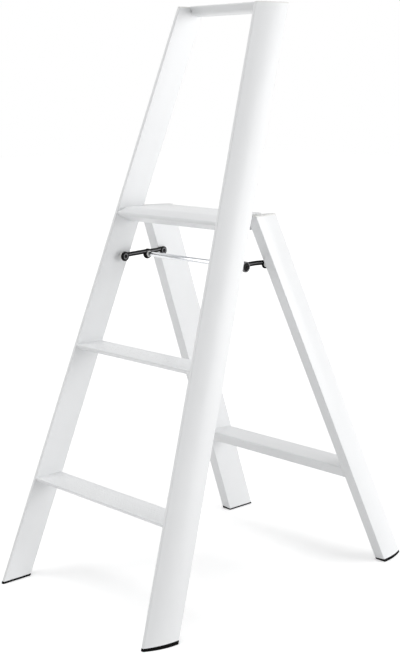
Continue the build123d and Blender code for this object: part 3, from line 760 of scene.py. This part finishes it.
@dataclass
class SpreaderLinks:
    """What the spreader's links share: a fluted flat bar with round eyes at its ends."""

    wall: float = 3.0 * MM
    bar_wall: float = 2.6 * MM
    width: float = 9.5 * MM
    rib: float = 2.0 * MM
    flute_rim: float = 0.7 * MM
    flute_depth: float = 0.8 * MM
    edge: float = 0.4 * MM
    sliver: float = 0.02 * MM
    vertices: int = 64

    def bar(self, name: str, start: Vector, shifts: Sequence[Vector]) -> Workpiece:
        """Make the bar, with chamfered edges and two flutes beside a rib on each face.

        Args:
            name: Name of the piece.
            start: Middle of the bar's first end.
            shifts: Its runs, one after the other.

        Returns:
            The bar.
        """
        run = shifts[0]
        tilt = math.atan2(run.z, run.y)
        along = Vector((0, math.cos(tilt), math.sin(tilt)))
        across = Vector((0, -math.sin(tilt), math.cos(tilt)))
        piece = Workpiece(name)
        piece.block(Vector((self.bar_wall, run.length, self.width)), start + run / 2, tilt)
        with piece.editing():
            piece.pick_faces(lambda face: face.normal.dot(along) > FACING)
            for shift in shifts[1:]:
                piece.pull(shift)
        piece.bevel(lambda edge: self.runs_lengthwise(edge, across), self.edge, segments=1)
        with piece.editing():
            for offset in (-self.rib / 2, self.rib / 2):
                piece.pick_faces(lambda face: abs(face.normal.x) > FACING)
                piece.cut(start + offset * across, across, clear=False)
            piece.pick_faces(
                lambda face: abs(face.normal.x) > FACING
                and abs((face.calc_center_median() - start).dot(across)) > self.rib / 2
            )
            bpy.ops.mesh.inset(thickness=self.flute_rim, depth=-self.flute_depth)
        piece.tidy()
        return piece

    @staticmethod
    def runs_lengthwise(edge: BMEdge, across: Vector) -> bool:
        """Tell whether an edge runs along the bar, rather than through it or across it."""
        way = (edge.verts[1].co - edge.verts[0].co).normalized()
        return abs(way.x) < FACING and abs(way.dot(across)) < FACING

    def eye(self, middle: Vector, radius: float) -> Workpiece:
        """Turn a round, flat eye with rounded edges about its middle."""
        piece = Workpiece("eye")
        outline = rounded_bar(self.wall / MM, radius / MM, self.edge / MM)
        piece.turned(middle - Vector((self.wall / 2, 0, 0)), Side.RIGHT.value, outline, self.vertices)
        return piece

    def sink(self, piece: Workpiece, middle: Vector, radius: float, depth: float) -> None:
        """Sink a dish with sloping walls into both faces of an eye.

        Args:
            piece: The link.
            middle: Middle of the eye.
            radius: Radius of the dish at its mouth.
            depth: Its depth.
        """
        for way in (-1, 1):
            floor = middle + Vector((way * (self.wall / 2 - depth), 0, 0))
            cutter = Workpiece("cutter")
            outline = [(0, (radius - depth) / MM), (2 * depth / MM, (radius + depth) / MM)]
            cutter.turned(floor, way, outline, self.vertices)
            piece.combine(cutter, "DIFFERENCE")

    def bore(self, piece: Workpiece, middle: Vector, radius: float) -> None:
        """Drill a hole through the eye of a link."""
        drill = Workpiece("drill")
        outline = [(0, radius / MM), (2 * self.wall / MM, radius / MM)]
        drill.turned(middle - Vector((self.wall, 0, 0)), Side.RIGHT.value, outline, self.vertices)
        piece.combine(drill, "DIFFERENCE")

    def complete(
        self,
        piece: Workpiece,
        start: Vector,
        end: Vector,
        clear: tuple[float, float],
        also_highlighted: Callable[[MeshPolygon], bool] = lambda face: False,
    ) -> None:
        """Merge the slivers that the cuts left, and paint a grey highlight on the link's rib between the
        eyes.

        Args:
            piece: The link.
            start: Middle of the bar's first end.
            end: Middle of its other end, in the same layer.
            clear: Stretches that the eyes cover at the two ends.
            also_highlighted: Test for other faces that get the painted highlight.
        """
        piece.tidy(self.sliver)
        along = (end - start).normalized()
        across = along.cross(Vector((1, 0, 0)))
        last = (end - start).length - clear[1]

        def on_rib(face: MeshPolygon) -> bool:
            """Tell whether a face lies on the rib, clear of the eyes."""
            place = face.center - start
            return (
                abs(face.normal.x) > FACING
                and abs(place.dot(across)) < self.rib / 2
                and clear[0] < place.dot(along) < last
            )

        # Painted highlight: the rib and the other marked faces get a flat grey that stands in for caught
        # light
        piece.rub(lambda face: on_rib(face) or also_highlighted(face))


@dataclass
class FrontLinks(SpreaderLinks):
    """The links from the stiles' studs to the eyes that grip the lift bar."""

    inner: float = 144.75 * MM
    arch: float = 6.0 * MM
    crown_eye: float = 5.15 * MM
    stud_lift: float = 2.9 * MM
    stud_eye: float = 10.3 * MM
    stud_rim: float = 2.2 * MM
    bar_eye: float = 9.2 * MM
    dish: float = 0.7 * MM
    stud_hole: float = 4.06 * MM
    bar_hole: float = 5.45 * MM

    def build(self, shop: Workshop) -> None:
        """Model the left link, mirror it, and hand both over."""
        layer = -(self.inner + self.wall / 2)
        stud, bar = FRONT_PIVOT.at(layer), MIDDLE_PIVOT.at(layer)
        root = stud + Vector((0, 0, self.stud_lift))
        crown = bar + Vector((0, 0, self.arch))
        left = self.bar("left_front_link_pressing", root, [crown - root])
        for middle, radius in ((crown, self.crown_eye), (stud, self.stud_eye), (bar, self.bar_eye)):
            left.combine(self.eye(middle, radius), "UNION")
        self.sink(left, stud, self.stud_eye - self.stud_rim, self.dish)
        self.bore(left, stud, self.stud_hole)
        self.bore(left, bar, self.bar_hole)
        self.complete(left, root, crown, (self.stud_eye, 0))
        shop.hand_over_pair(left, (Body.LIFT, Body.LIFT), Slot.BLACK_ENAMEL, FLAT_CREASE, "front_link")


@dataclass
class RearLinks(SpreaderLinks):
    """The links from the lift bar's joints to the legs' studs, cranked outwards, and the joints' rivets."""

    inner: float = 148.25 * MM
    arch: float = 4.6 * MM
    stud_lift: float = 4.0 * MM
    crank: float = 5.25 * MM
    crank_start: float = 0.55
    crank_end: float = 0.85
    joint_eye: float = 11.0 * MM
    joint_rim: float = 2.6 * MM
    rim_slack: float = 0.05 * MM
    stud_eye: float = 9.2 * MM
    stud_rim: float = 1.8 * MM
    dish: float = 0.8 * MM
    rivet_hole: float = 4.0 * MM
    stud_hole: float = 4.06 * MM

    RIVET = ((0.4, 1.6), (0.6, 3.0), (0.9, 3.95), (2.2, 3.95), (2.2, 5.0), (2.5, 4.9), (2.8, 4.0),
             (2.9, 3.2), (2.6, 2.6), (1.2, 2.3))

    def build(self, shop: Workshop) -> None:
        """Model the left link and its rivet, mirror them, and hand them over."""
        bodies = (Body.LEFT_REAR_LINK, Body.RIGHT_REAR_LINK)
        shop.hand_over_pair(self.model_link(), bodies, Slot.BLACK_ENAMEL, FLAT_CREASE, "rear_link")
        shop.hand_over_pair(self.model_rivet(), bodies, Slot.BLACK_ENAMEL, ROUND_CREASE, "link_rivet")

    def model_link(self) -> Workpiece:
        """Model the left link, cranked outwards on its way to the leg."""
        layer = -(self.inner + self.wall / 2)
        joint, stud = MIDDLE_PIVOT.at(layer), REAR_PIVOT.at(layer - self.crank)
        crown = joint + Vector((0, 0, self.arch))
        whole = Vector((0, stud.y - crown.y, stud.z + self.stud_lift - crown.z))
        shifts = [
            self.crank_start * whole,
            (self.crank_end - self.crank_start) * whole + Vector((-self.crank, 0, 0)),
            (1 - self.crank_end) * whole,
        ]
        link = self.bar("left_rear_link_pressing", crown, shifts)
        for middle, radius, rim, hole in (
            (joint, self.joint_eye, self.joint_rim, self.rivet_hole),
            (stud, self.stud_eye, self.stud_rim, self.stud_hole),
        ):
            link.combine(self.eye(middle, radius), "UNION")
            self.sink(link, middle, radius - rim, self.dish)
            self.bore(link, middle, hole)
        least = self.joint_eye - self.joint_rim - self.rim_slack
        most = self.joint_eye + self.rim_slack

        def on_joint_rim(face: MeshPolygon) -> bool:
            """Tell whether a face lies on the outer side's rim round the joint, which gets the painted
            highlight.
            """
            spokes = [(link.obj.data.vertices[i].co - joint).yz.length for i in face.vertices]
            return face.normal.x < -FACING and least < min(spokes) and max(spokes) < most

        self.complete(link, crown, crown + whole, (self.joint_eye, self.stud_eye), on_joint_rim)
        return link

    def model_rivet(self) -> Workpiece:
        """Turn the rivet that closes the left middle joint, with its end peened over inside the dish."""
        rivet = Workpiece("left_link_rivet_peened")
        rivet.turned(MIDDLE_PIVOT.at(-self.inner), Side.LEFT.value, self.RIVET)
        return rivet


@dataclass
class SpreaderStuds:
    """A pair of studs that carry the links: a pin with a dished head, and a spacer against the upright.

    The sizes are in millimetres.
    """

    kind: str
    upright: Upright
    pivot: Pivot
    body: Body
    link_inner: float
    link_wall: float = SpreaderLinks.wall / MM
    gap: float = 0.25
    play: float = 0.05
    pin: float = 4.0
    head: float = 6.5
    head_height: float = 2.0
    head_edge: float = 0.3
    # Width in millimetres of the band round the head's top that gets the painted highlight
    rubbed: float = 1.0
    spacer: float = 6.2
    spacer_edge: float = 0.4
    spacer_bite: float = 1.0
    tail: float = 3.2

    # Depth under the head's top and distance inside its rim, from the rim to the middle of the dish
    DISH = ((0.6, 0), (0.15, 0.3), (0, 0.8), (0.1, 1.4), (0.9, 2.3), (1.2, 4.0), (1.2, 5.5))

    def build(self, shop: Workshop) -> None:
        """Turn the left pin and spacer, mirror them, and hand them over."""
        bodies = (self.body, self.body)
        shop.hand_over_pair(self.model_pin(), bodies, Slot.BLACK_ENAMEL, ROUND_CREASE, self.kind)
        shop.hand_over_pair(self.model_spacer(), bodies, Slot.WHITE_NYLON, ROUND_CREASE)

    @property
    def root(self) -> float:
        """Distance from the middle of the ladder to the upright's inner face at the stud, in millimetres."""
        return self.upright.inner_at(self.pivot.z) / MM

    def model_pin(self) -> Workpiece:
        """Turn the left pin from its end in the upright to its dished head, with a highlight painted round
        the head's top.
        """
        start = self.root + self.tail
        neck = start - (self.link_inner - self.gap)
        top = neck + self.head_height
        shank = [(0, self.pin), (neck, self.pin)]
        rim = [(neck, self.head - self.head_edge), (neck + self.head_edge, self.head)]
        dish = [(top - depth, self.head - inset) for depth, inset in self.DISH]
        pin = Workpiece(f"left_{self.kind}_pin")
        pin.turned(self.pivot.at(-start * MM), Side.RIGHT.value, shank + rim + dish)
        top_x = -(self.link_inner - self.gap - self.head_height) * MM
        # Painted highlight: the top band of the head gets the grey that stands in for light on its rim
        pin.rub(lambda face: face.center.x > top_x - self.rubbed * MM)
        return pin

    def model_spacer(self) -> Workpiece:
        """Turn the left spacer, a little way into the upright's wall."""
        inner = self.link_inner + self.link_wall + self.gap
        run, bore = self.root + self.spacer_bite - inner, self.pin + self.play
        edge = [(0, self.spacer - self.spacer_edge), (self.spacer_edge, self.spacer)]
        spacer = Workpiece(f"left_{self.kind}_spacer")
        section = [(0, bore), *edge, (run, self.spacer), (run, bore)]
        spacer.turned(self.pivot.at(-inner * MM), Side.LEFT.value, section, ring=True)
        return spacer


@dataclass
class LiftBar:
    """The bar that is lifted to fold the ladder, with a collar at each end.

    The sizes are in millimetres.
    """

    half: float = 147.75
    radius: float = 5.4
    end_round: float = 0.6
    vertices: int = 96
    collar: float = 6.8
    collar_length: float = 3.0
    collar_start: float = 144.5
    collar_edge: float = 0.6
    collar_fall: float = 0.1
    collar_toe: tuple[float, float] = (0.5, 0.2)
    play: float = 0.05

    def build(self, shop: Workshop) -> None:
        """Turn the bar and its collars and hand them over."""
        outline = rounded_bar(2 * self.half, self.radius, self.end_round)
        bar = Workpiece("lift_bar_rod")
        bar.turned(MIDDLE_PIVOT.at(-self.half * MM), Side.RIGHT.value, outline, self.vertices)
        bar.smooth(ROUND_CREASE)
        shop.hand_over(bar, Body.LIFT, Slot.ZINC_STEEL, "lift_bar")
        bodies = (Body.LIFT, Body.LIFT)
        shop.hand_over_pair(self.model_collar(), bodies, Slot.WHITE_NYLON, ROUND_CREASE, "bar_collar")

    def model_collar(self) -> Workpiece:
        """Turn the left collar, which keeps the front link in its place on the bar."""
        bore, edge, length = self.radius + self.play, self.collar_edge, self.collar_length
        collar = Workpiece("left_bar_collar_ring")
        section = [
            (0, bore),
            (0, self.collar - edge),
            (edge, self.collar),
            (2 * edge, self.collar - self.collar_fall),
            (length - edge, bore + self.collar_toe[0]),
            (length, bore + self.collar_toe[1]),
            (length, bore),
        ]
        collar.turned(MIDDLE_PIVOT.at(-self.collar_start * MM), Side.RIGHT.value, section, ring=True)
        return collar


@dataclass
class Fasteners:
    """Rivets with dimpled heads, socket screws and the hinge's headed pins, whose outlines are stations."""

    treads: tuple[float, float] = (224.5 * MM, 504.3 * MM)
    platform: float = 792.2 * MM
    platform_half: float = 147.5 * MM
    hinge_plate: float = 4.0 * MM
    hinge_head: float = 2.0 * MM
    bracket_wall: float = 2.5 * MM
    bracket_reach: float = 46.0 * MM
    bracket_drop: float = 9.5 * MM
    bracket_spread: float = 10.0 * MM
    hinge_reach: float = 43.0 * MM
    hinge_drop: float = 18.5 * MM
    hinge_spread: float = 9.0 * MM
    tread_sheet: float = 3.0 * MM
    screw_setback: float = 9.0 * MM
    brace_low: float = 204.8 * MM
    brace_depth: float = 71.6 * MM
    brace_inset: float = 17.0 * MM
    brace_spread: float = 18.0 * MM
    vertices: int = 32
    screw_crease: float = 30.0

    RIVET = ((-0.7, 0.7), (-1.3, 0.9), (-1.4, 1.3), (-1.15, 2.6), (-0.7, 3.4), (-0.2, 3.8), (0, 3.75),
             (0, 2.0), (7.2, 2.0), (7.7, 1.6))
    SCREW = ((-1.4, 2.6), (-1.3, 3.0), (-0.9, 3.5), (-0.3, 3.8), (0, 3.8), (0, 2.0), (3.6, 2.0), (4.0, 1.6))
    SOCKET = ((-2.0, 1.6), (-0.6, 1.6))
    SOCKET_SIDES = 6
    HINGE_PIN = ((0.5, 1.5), (0.1, 2.2), (0, 4.5), (0.4, 7.4), (1.0, 8.4), (2.0, 8.4), (2.0, 5.0),
                 (15.4, 5.0), (15.4, 8.0), (16.6, 8.0), (17.4, 6.8))

    def build(self, shop: Workshop) -> None:
        """Make every fastener and hand it over."""
        rivets = self.model_rivet("stile_rivets_dimpled")
        rivets.repeated(self.stile_spots())
        shop.hand_over(rivets, Body.FRONT, Slot.ZINC_STEEL, "stile_rivets")
        brace = self.model_rivet("brace_rivets_dimpled")
        brace.repeated(self.brace_spots())
        shop.hand_over(brace, Body.REAR, Slot.ZINC_STEEL, "brace_rivets")
        screws = self.model_screw()
        screws.repeated(self.screw_spots())
        shop.hand_over(screws, Body.FRONT, Slot.ZINC_STEEL, "step_screws")
        bodies = (Body.FRONT, Body.FRONT)
        shop.hand_over_pair(self.model_pin(), bodies, Slot.ZINC_STEEL, ROUND_CREASE, "hinge_pin")

    def model_rivet(self, name: str) -> Workpiece:
        """Turn a blind rivet at the origin, pointing along X, with the dimple of its broken stem."""
        rivet = Workpiece(name)
        rivet.turned(Vector((0, 0, 0)), Side.RIGHT.value, self.RIVET, self.vertices)
        rivet.smooth(ROUND_CREASE)
        return rivet

    def model_screw(self) -> Workpiece:
        """Turn a screw at the origin, pointing along X, and sink a six-sided socket into its head."""
        screw = Workpiece("step_screws_socket")
        screw.turned(Vector((0, 0, 0)), Side.RIGHT.value, self.SCREW, self.vertices)
        socket = Workpiece("socket")
        socket.turned(Vector((0, 0, 0)), Side.RIGHT.value, self.SOCKET, self.SOCKET_SIDES)
        screw.combine(socket, "DIFFERENCE")
        screw.tidy()
        screw.smooth(self.screw_crease)
        return screw

    def model_pin(self) -> Workpiece:
        """Turn the left hinge pin, from its domed head under the platform to its flange inside the leg."""
        top = self.platform_half - self.hinge_plate - self.hinge_head
        pin = Workpiece("left_hinge_pin_headed")
        pin.turned(HINGE.at(-top), Side.LEFT.value, self.HINGE_PIN)
        return pin

    def stile_spots(self) -> list[tuple[Vector, Vector]]:
        """Place and direction of each rivet on the stiles: the steps' brackets, then the hinge's."""
        spots = []
        for side in Side:
            sign = side.value
            into = Vector((sign, 0, STILE.draw)).normalized()
            for tread in self.treads:
                level = tread - self.bracket_drop
                for shift in (-self.bracket_spread, self.bracket_spread):
                    y = STILE.front_at(level) + self.bracket_reach + shift
                    wall = Vector((sign * STILE.inner_at(level), y, level))
                    spots.append((wall - self.bracket_wall * into, into))
            level = self.platform - self.hinge_drop
            for shift in (-self.hinge_spread, self.hinge_spread):
                y = STILE.front_at(level) + self.hinge_reach + shift
                seat = sign * (self.platform_half - self.hinge_plate)
                spots.append((Vector((seat, y, level)), Vector((sign, 0, 0))))
        return spots

    def brace_spots(self) -> list[tuple[Vector, Vector]]:
        """Place and direction of each rivet under the rear brace's ends."""
        x = LEG.inner_at(self.brace_low) - self.brace_inset
        y = LEG.front_at(self.brace_low) + self.brace_depth / 2
        return [
            (Vector((side.value * x, y + shift, self.brace_low)), Vector((0, 0, 1)))
            for side in Side
            for shift in (-self.brace_spread, self.brace_spread)
        ]

    def screw_spots(self) -> list[tuple[Vector, Vector]]:
        """Place and direction of each screw under the steps' brackets."""
        spots = []
        for side in Side:
            for tread in self.treads:
                x = side.value * (STILE.inner_at(tread) - self.screw_setback)
                y = STILE.front_at(tread) + self.bracket_reach
                z = tread - self.tread_sheet - self.bracket_wall
                spots.append((Vector((x, y, z)), Vector((0, 0, 1))))
        return spots


@dataclass(frozen=True)
class Softbox:
    """A soft lamp: where it hangs, what it points at, its size and its power in watts."""

    name: str
    place: tuple[float, float, float]
    target: tuple[float, float, float]
    size: tuple[float, float]
    power: float

    def hang(self) -> None:
        """Hang the lamp and point it."""
        data = bpy.data.lights.new(self.name, "AREA")
        data.shape = "RECTANGLE"
        data.size, data.size_y = self.size
        data.energy = self.power
        lamp = bpy.data.objects.new(self.name, data)
        lamp.location = self.place
        aim = Vector(self.target) - Vector(self.place)
        lamp.rotation_euler = aim.to_track_quat("-Z", "Y").to_euler()
        bpy.context.scene.collection.objects.link(lamp)


@dataclass
class Studio:
    """A plain white studio with soft light from the right and above, and the photograph's camera."""

    image_height: int = 653
    focal_pixels: float = 1244.5
    sensor: float = 36.0
    eye: tuple[float, float, float] = (1.88135, -1.80982, 1.02789)
    tilt: float = 79.41
    turn: float = 46.394
    ambient: float = 0.31
    floor_size: float = 30.0
    floor_drop: float = 0.2 * MM
    floor_roughness: float = 0.9
    floor_colour: str = "fafafa"
    near_glow: float = 0.36
    far_glow: float = 0.74
    near: float = 0.5
    far: float = 4.5
    softboxes: tuple[Softbox, ...] = (
        Softbox("side_softbox", (4.2, 2.94, 1.4), (0, 0, 0.7), (4.5, 2.6), 160.0),
        Softbox("top_softbox", (0.0, -1.2, 7.0), (0, 0, 0.5), (4.2, 4.2), 178.0),
        Softbox("fill_softbox", (-2.2, -2.6, 1.6), (0, 0, 0.6), (2.5, 2.5), 23.0),
    )

    def build(self) -> None:
        """Set the camera, the lamps, the world and the floor."""
        self.place_camera()
        self.light_world()
        for softbox in self.softboxes:
            softbox.hang()
        self.lay_floor()
        bpy.context.scene.view_settings.view_transform = "Standard"

    def place_camera(self) -> None:
        """Stand the camera where the photograph was taken from."""
        data = bpy.data.cameras.new("camera")
        data.sensor_width = self.sensor
        data.lens = self.focal_pixels * self.sensor / self.image_height
        camera = bpy.data.objects.new("camera", data)
        camera.location = self.eye
        camera.rotation_euler = (math.radians(self.tilt), 0, math.radians(self.turn))
        bpy.context.scene.collection.objects.link(camera)
        bpy.context.scene.camera = camera

    def seen_directly(self, tree: NodeTree) -> NodeSocket:
        """Give a value of 1 on camera, glossy and transmission rays, and 0 on all others."""
        rays = add_node(tree, "ShaderNodeLightPath").outputs
        mirrored = add_math(tree, "MAXIMUM", rays["Is Camera Ray"], rays["Is Glossy Ray"])
        return add_math(tree, "MAXIMUM", mirrored, rays["Is Transmission Ray"])

    def light_world(self) -> None:
        """Fill the room with even white light that looks plain white itself."""
        world = bpy.data.worlds.new("studio_world")
        world.use_nodes = True
        tree = world.node_tree
        seen = self.seen_directly(tree)
        range_ends = {"To Min": self.ambient, "To Max": 1.0}
        strength = add_node(tree, "ShaderNodeMapRange", range_ends, {"Value": seen})
        background = tree.nodes["Background"]
        background.inputs["Color"].default_value = (1, 1, 1, 1)
        tree.links.new(strength.outputs["Result"], background.inputs["Strength"])
        bpy.context.scene.world = world

    def lay_floor(self) -> None:
        """Lay a pale floor that reads as white where nothing shades it, also far away from the lamps."""
        bpy.ops.object.select_all(action="DESELECT")
        bpy.ops.mesh.primitive_plane_add(size=self.floor_size, location=(0, 0, -self.floor_drop))
        floor = bpy.context.active_object
        floor.name = "studio_floor"
        material = bpy.data.materials.new("pale_floor")
        material.use_nodes = True
        tree = material.node_tree
        shader = tree.nodes["Principled BSDF"]
        shader.inputs["Base Color"].default_value = linear(self.floor_colour)
        shader.inputs["Roughness"].default_value = self.floor_roughness
        shader.inputs["Specular IOR Level"].default_value = 0.0
        shader.inputs["Emission Color"].default_value = (1, 1, 1, 1)
        place = add_node(tree, "ShaderNodeTexCoord").outputs["Object"]
        reach = add_node(tree, "ShaderNodeVectorMath", {"operation": "LENGTH"})
        tree.links.new(place, reach.inputs[0])
        glow = add_node(
            tree,
            "ShaderNodeMapRange",
            {"From Min": self.near, "From Max": self.far, "To Min": self.near_glow, "To Max": self.far_glow},
            {"Value": reach.outputs["Value"]},
        )
        shown = add_math(tree, "MULTIPLY", glow.outputs["Result"], self.seen_directly(tree))
        tree.links.new(shown, shader.inputs["Emission Strength"])
        floor.data.materials.append(material)


def main() -> None:
    """Build the looks piece by piece."""
    logging.basicConfig(level=logging.INFO, format="%(name)s: %(message)s")
    shop = Workshop()
    shop.paint_frame()
    RubberFeet(STILE, "front_foot", Body.FRONT).build(shop)
    RubberFeet(LEG, "rear_foot", Body.REAR).build(shop)
    FrontLinks().build(shop)
    RearLinks().build(shop)
    front_layer, rear_layer = FrontLinks.inner / MM, (RearLinks.inner + RearLinks.crank) / MM
    SpreaderStuds("front_stud", STILE, FRONT_PIVOT, Body.FRONT, front_layer).build(shop)
    SpreaderStuds("rear_stud", LEG, REAR_PIVOT, Body.REAR, rear_layer).build(shop)
    LiftBar().build(shop)
    Fasteners().build(shop)
    Studio().build()


if __name__ == "__main__":
    main()
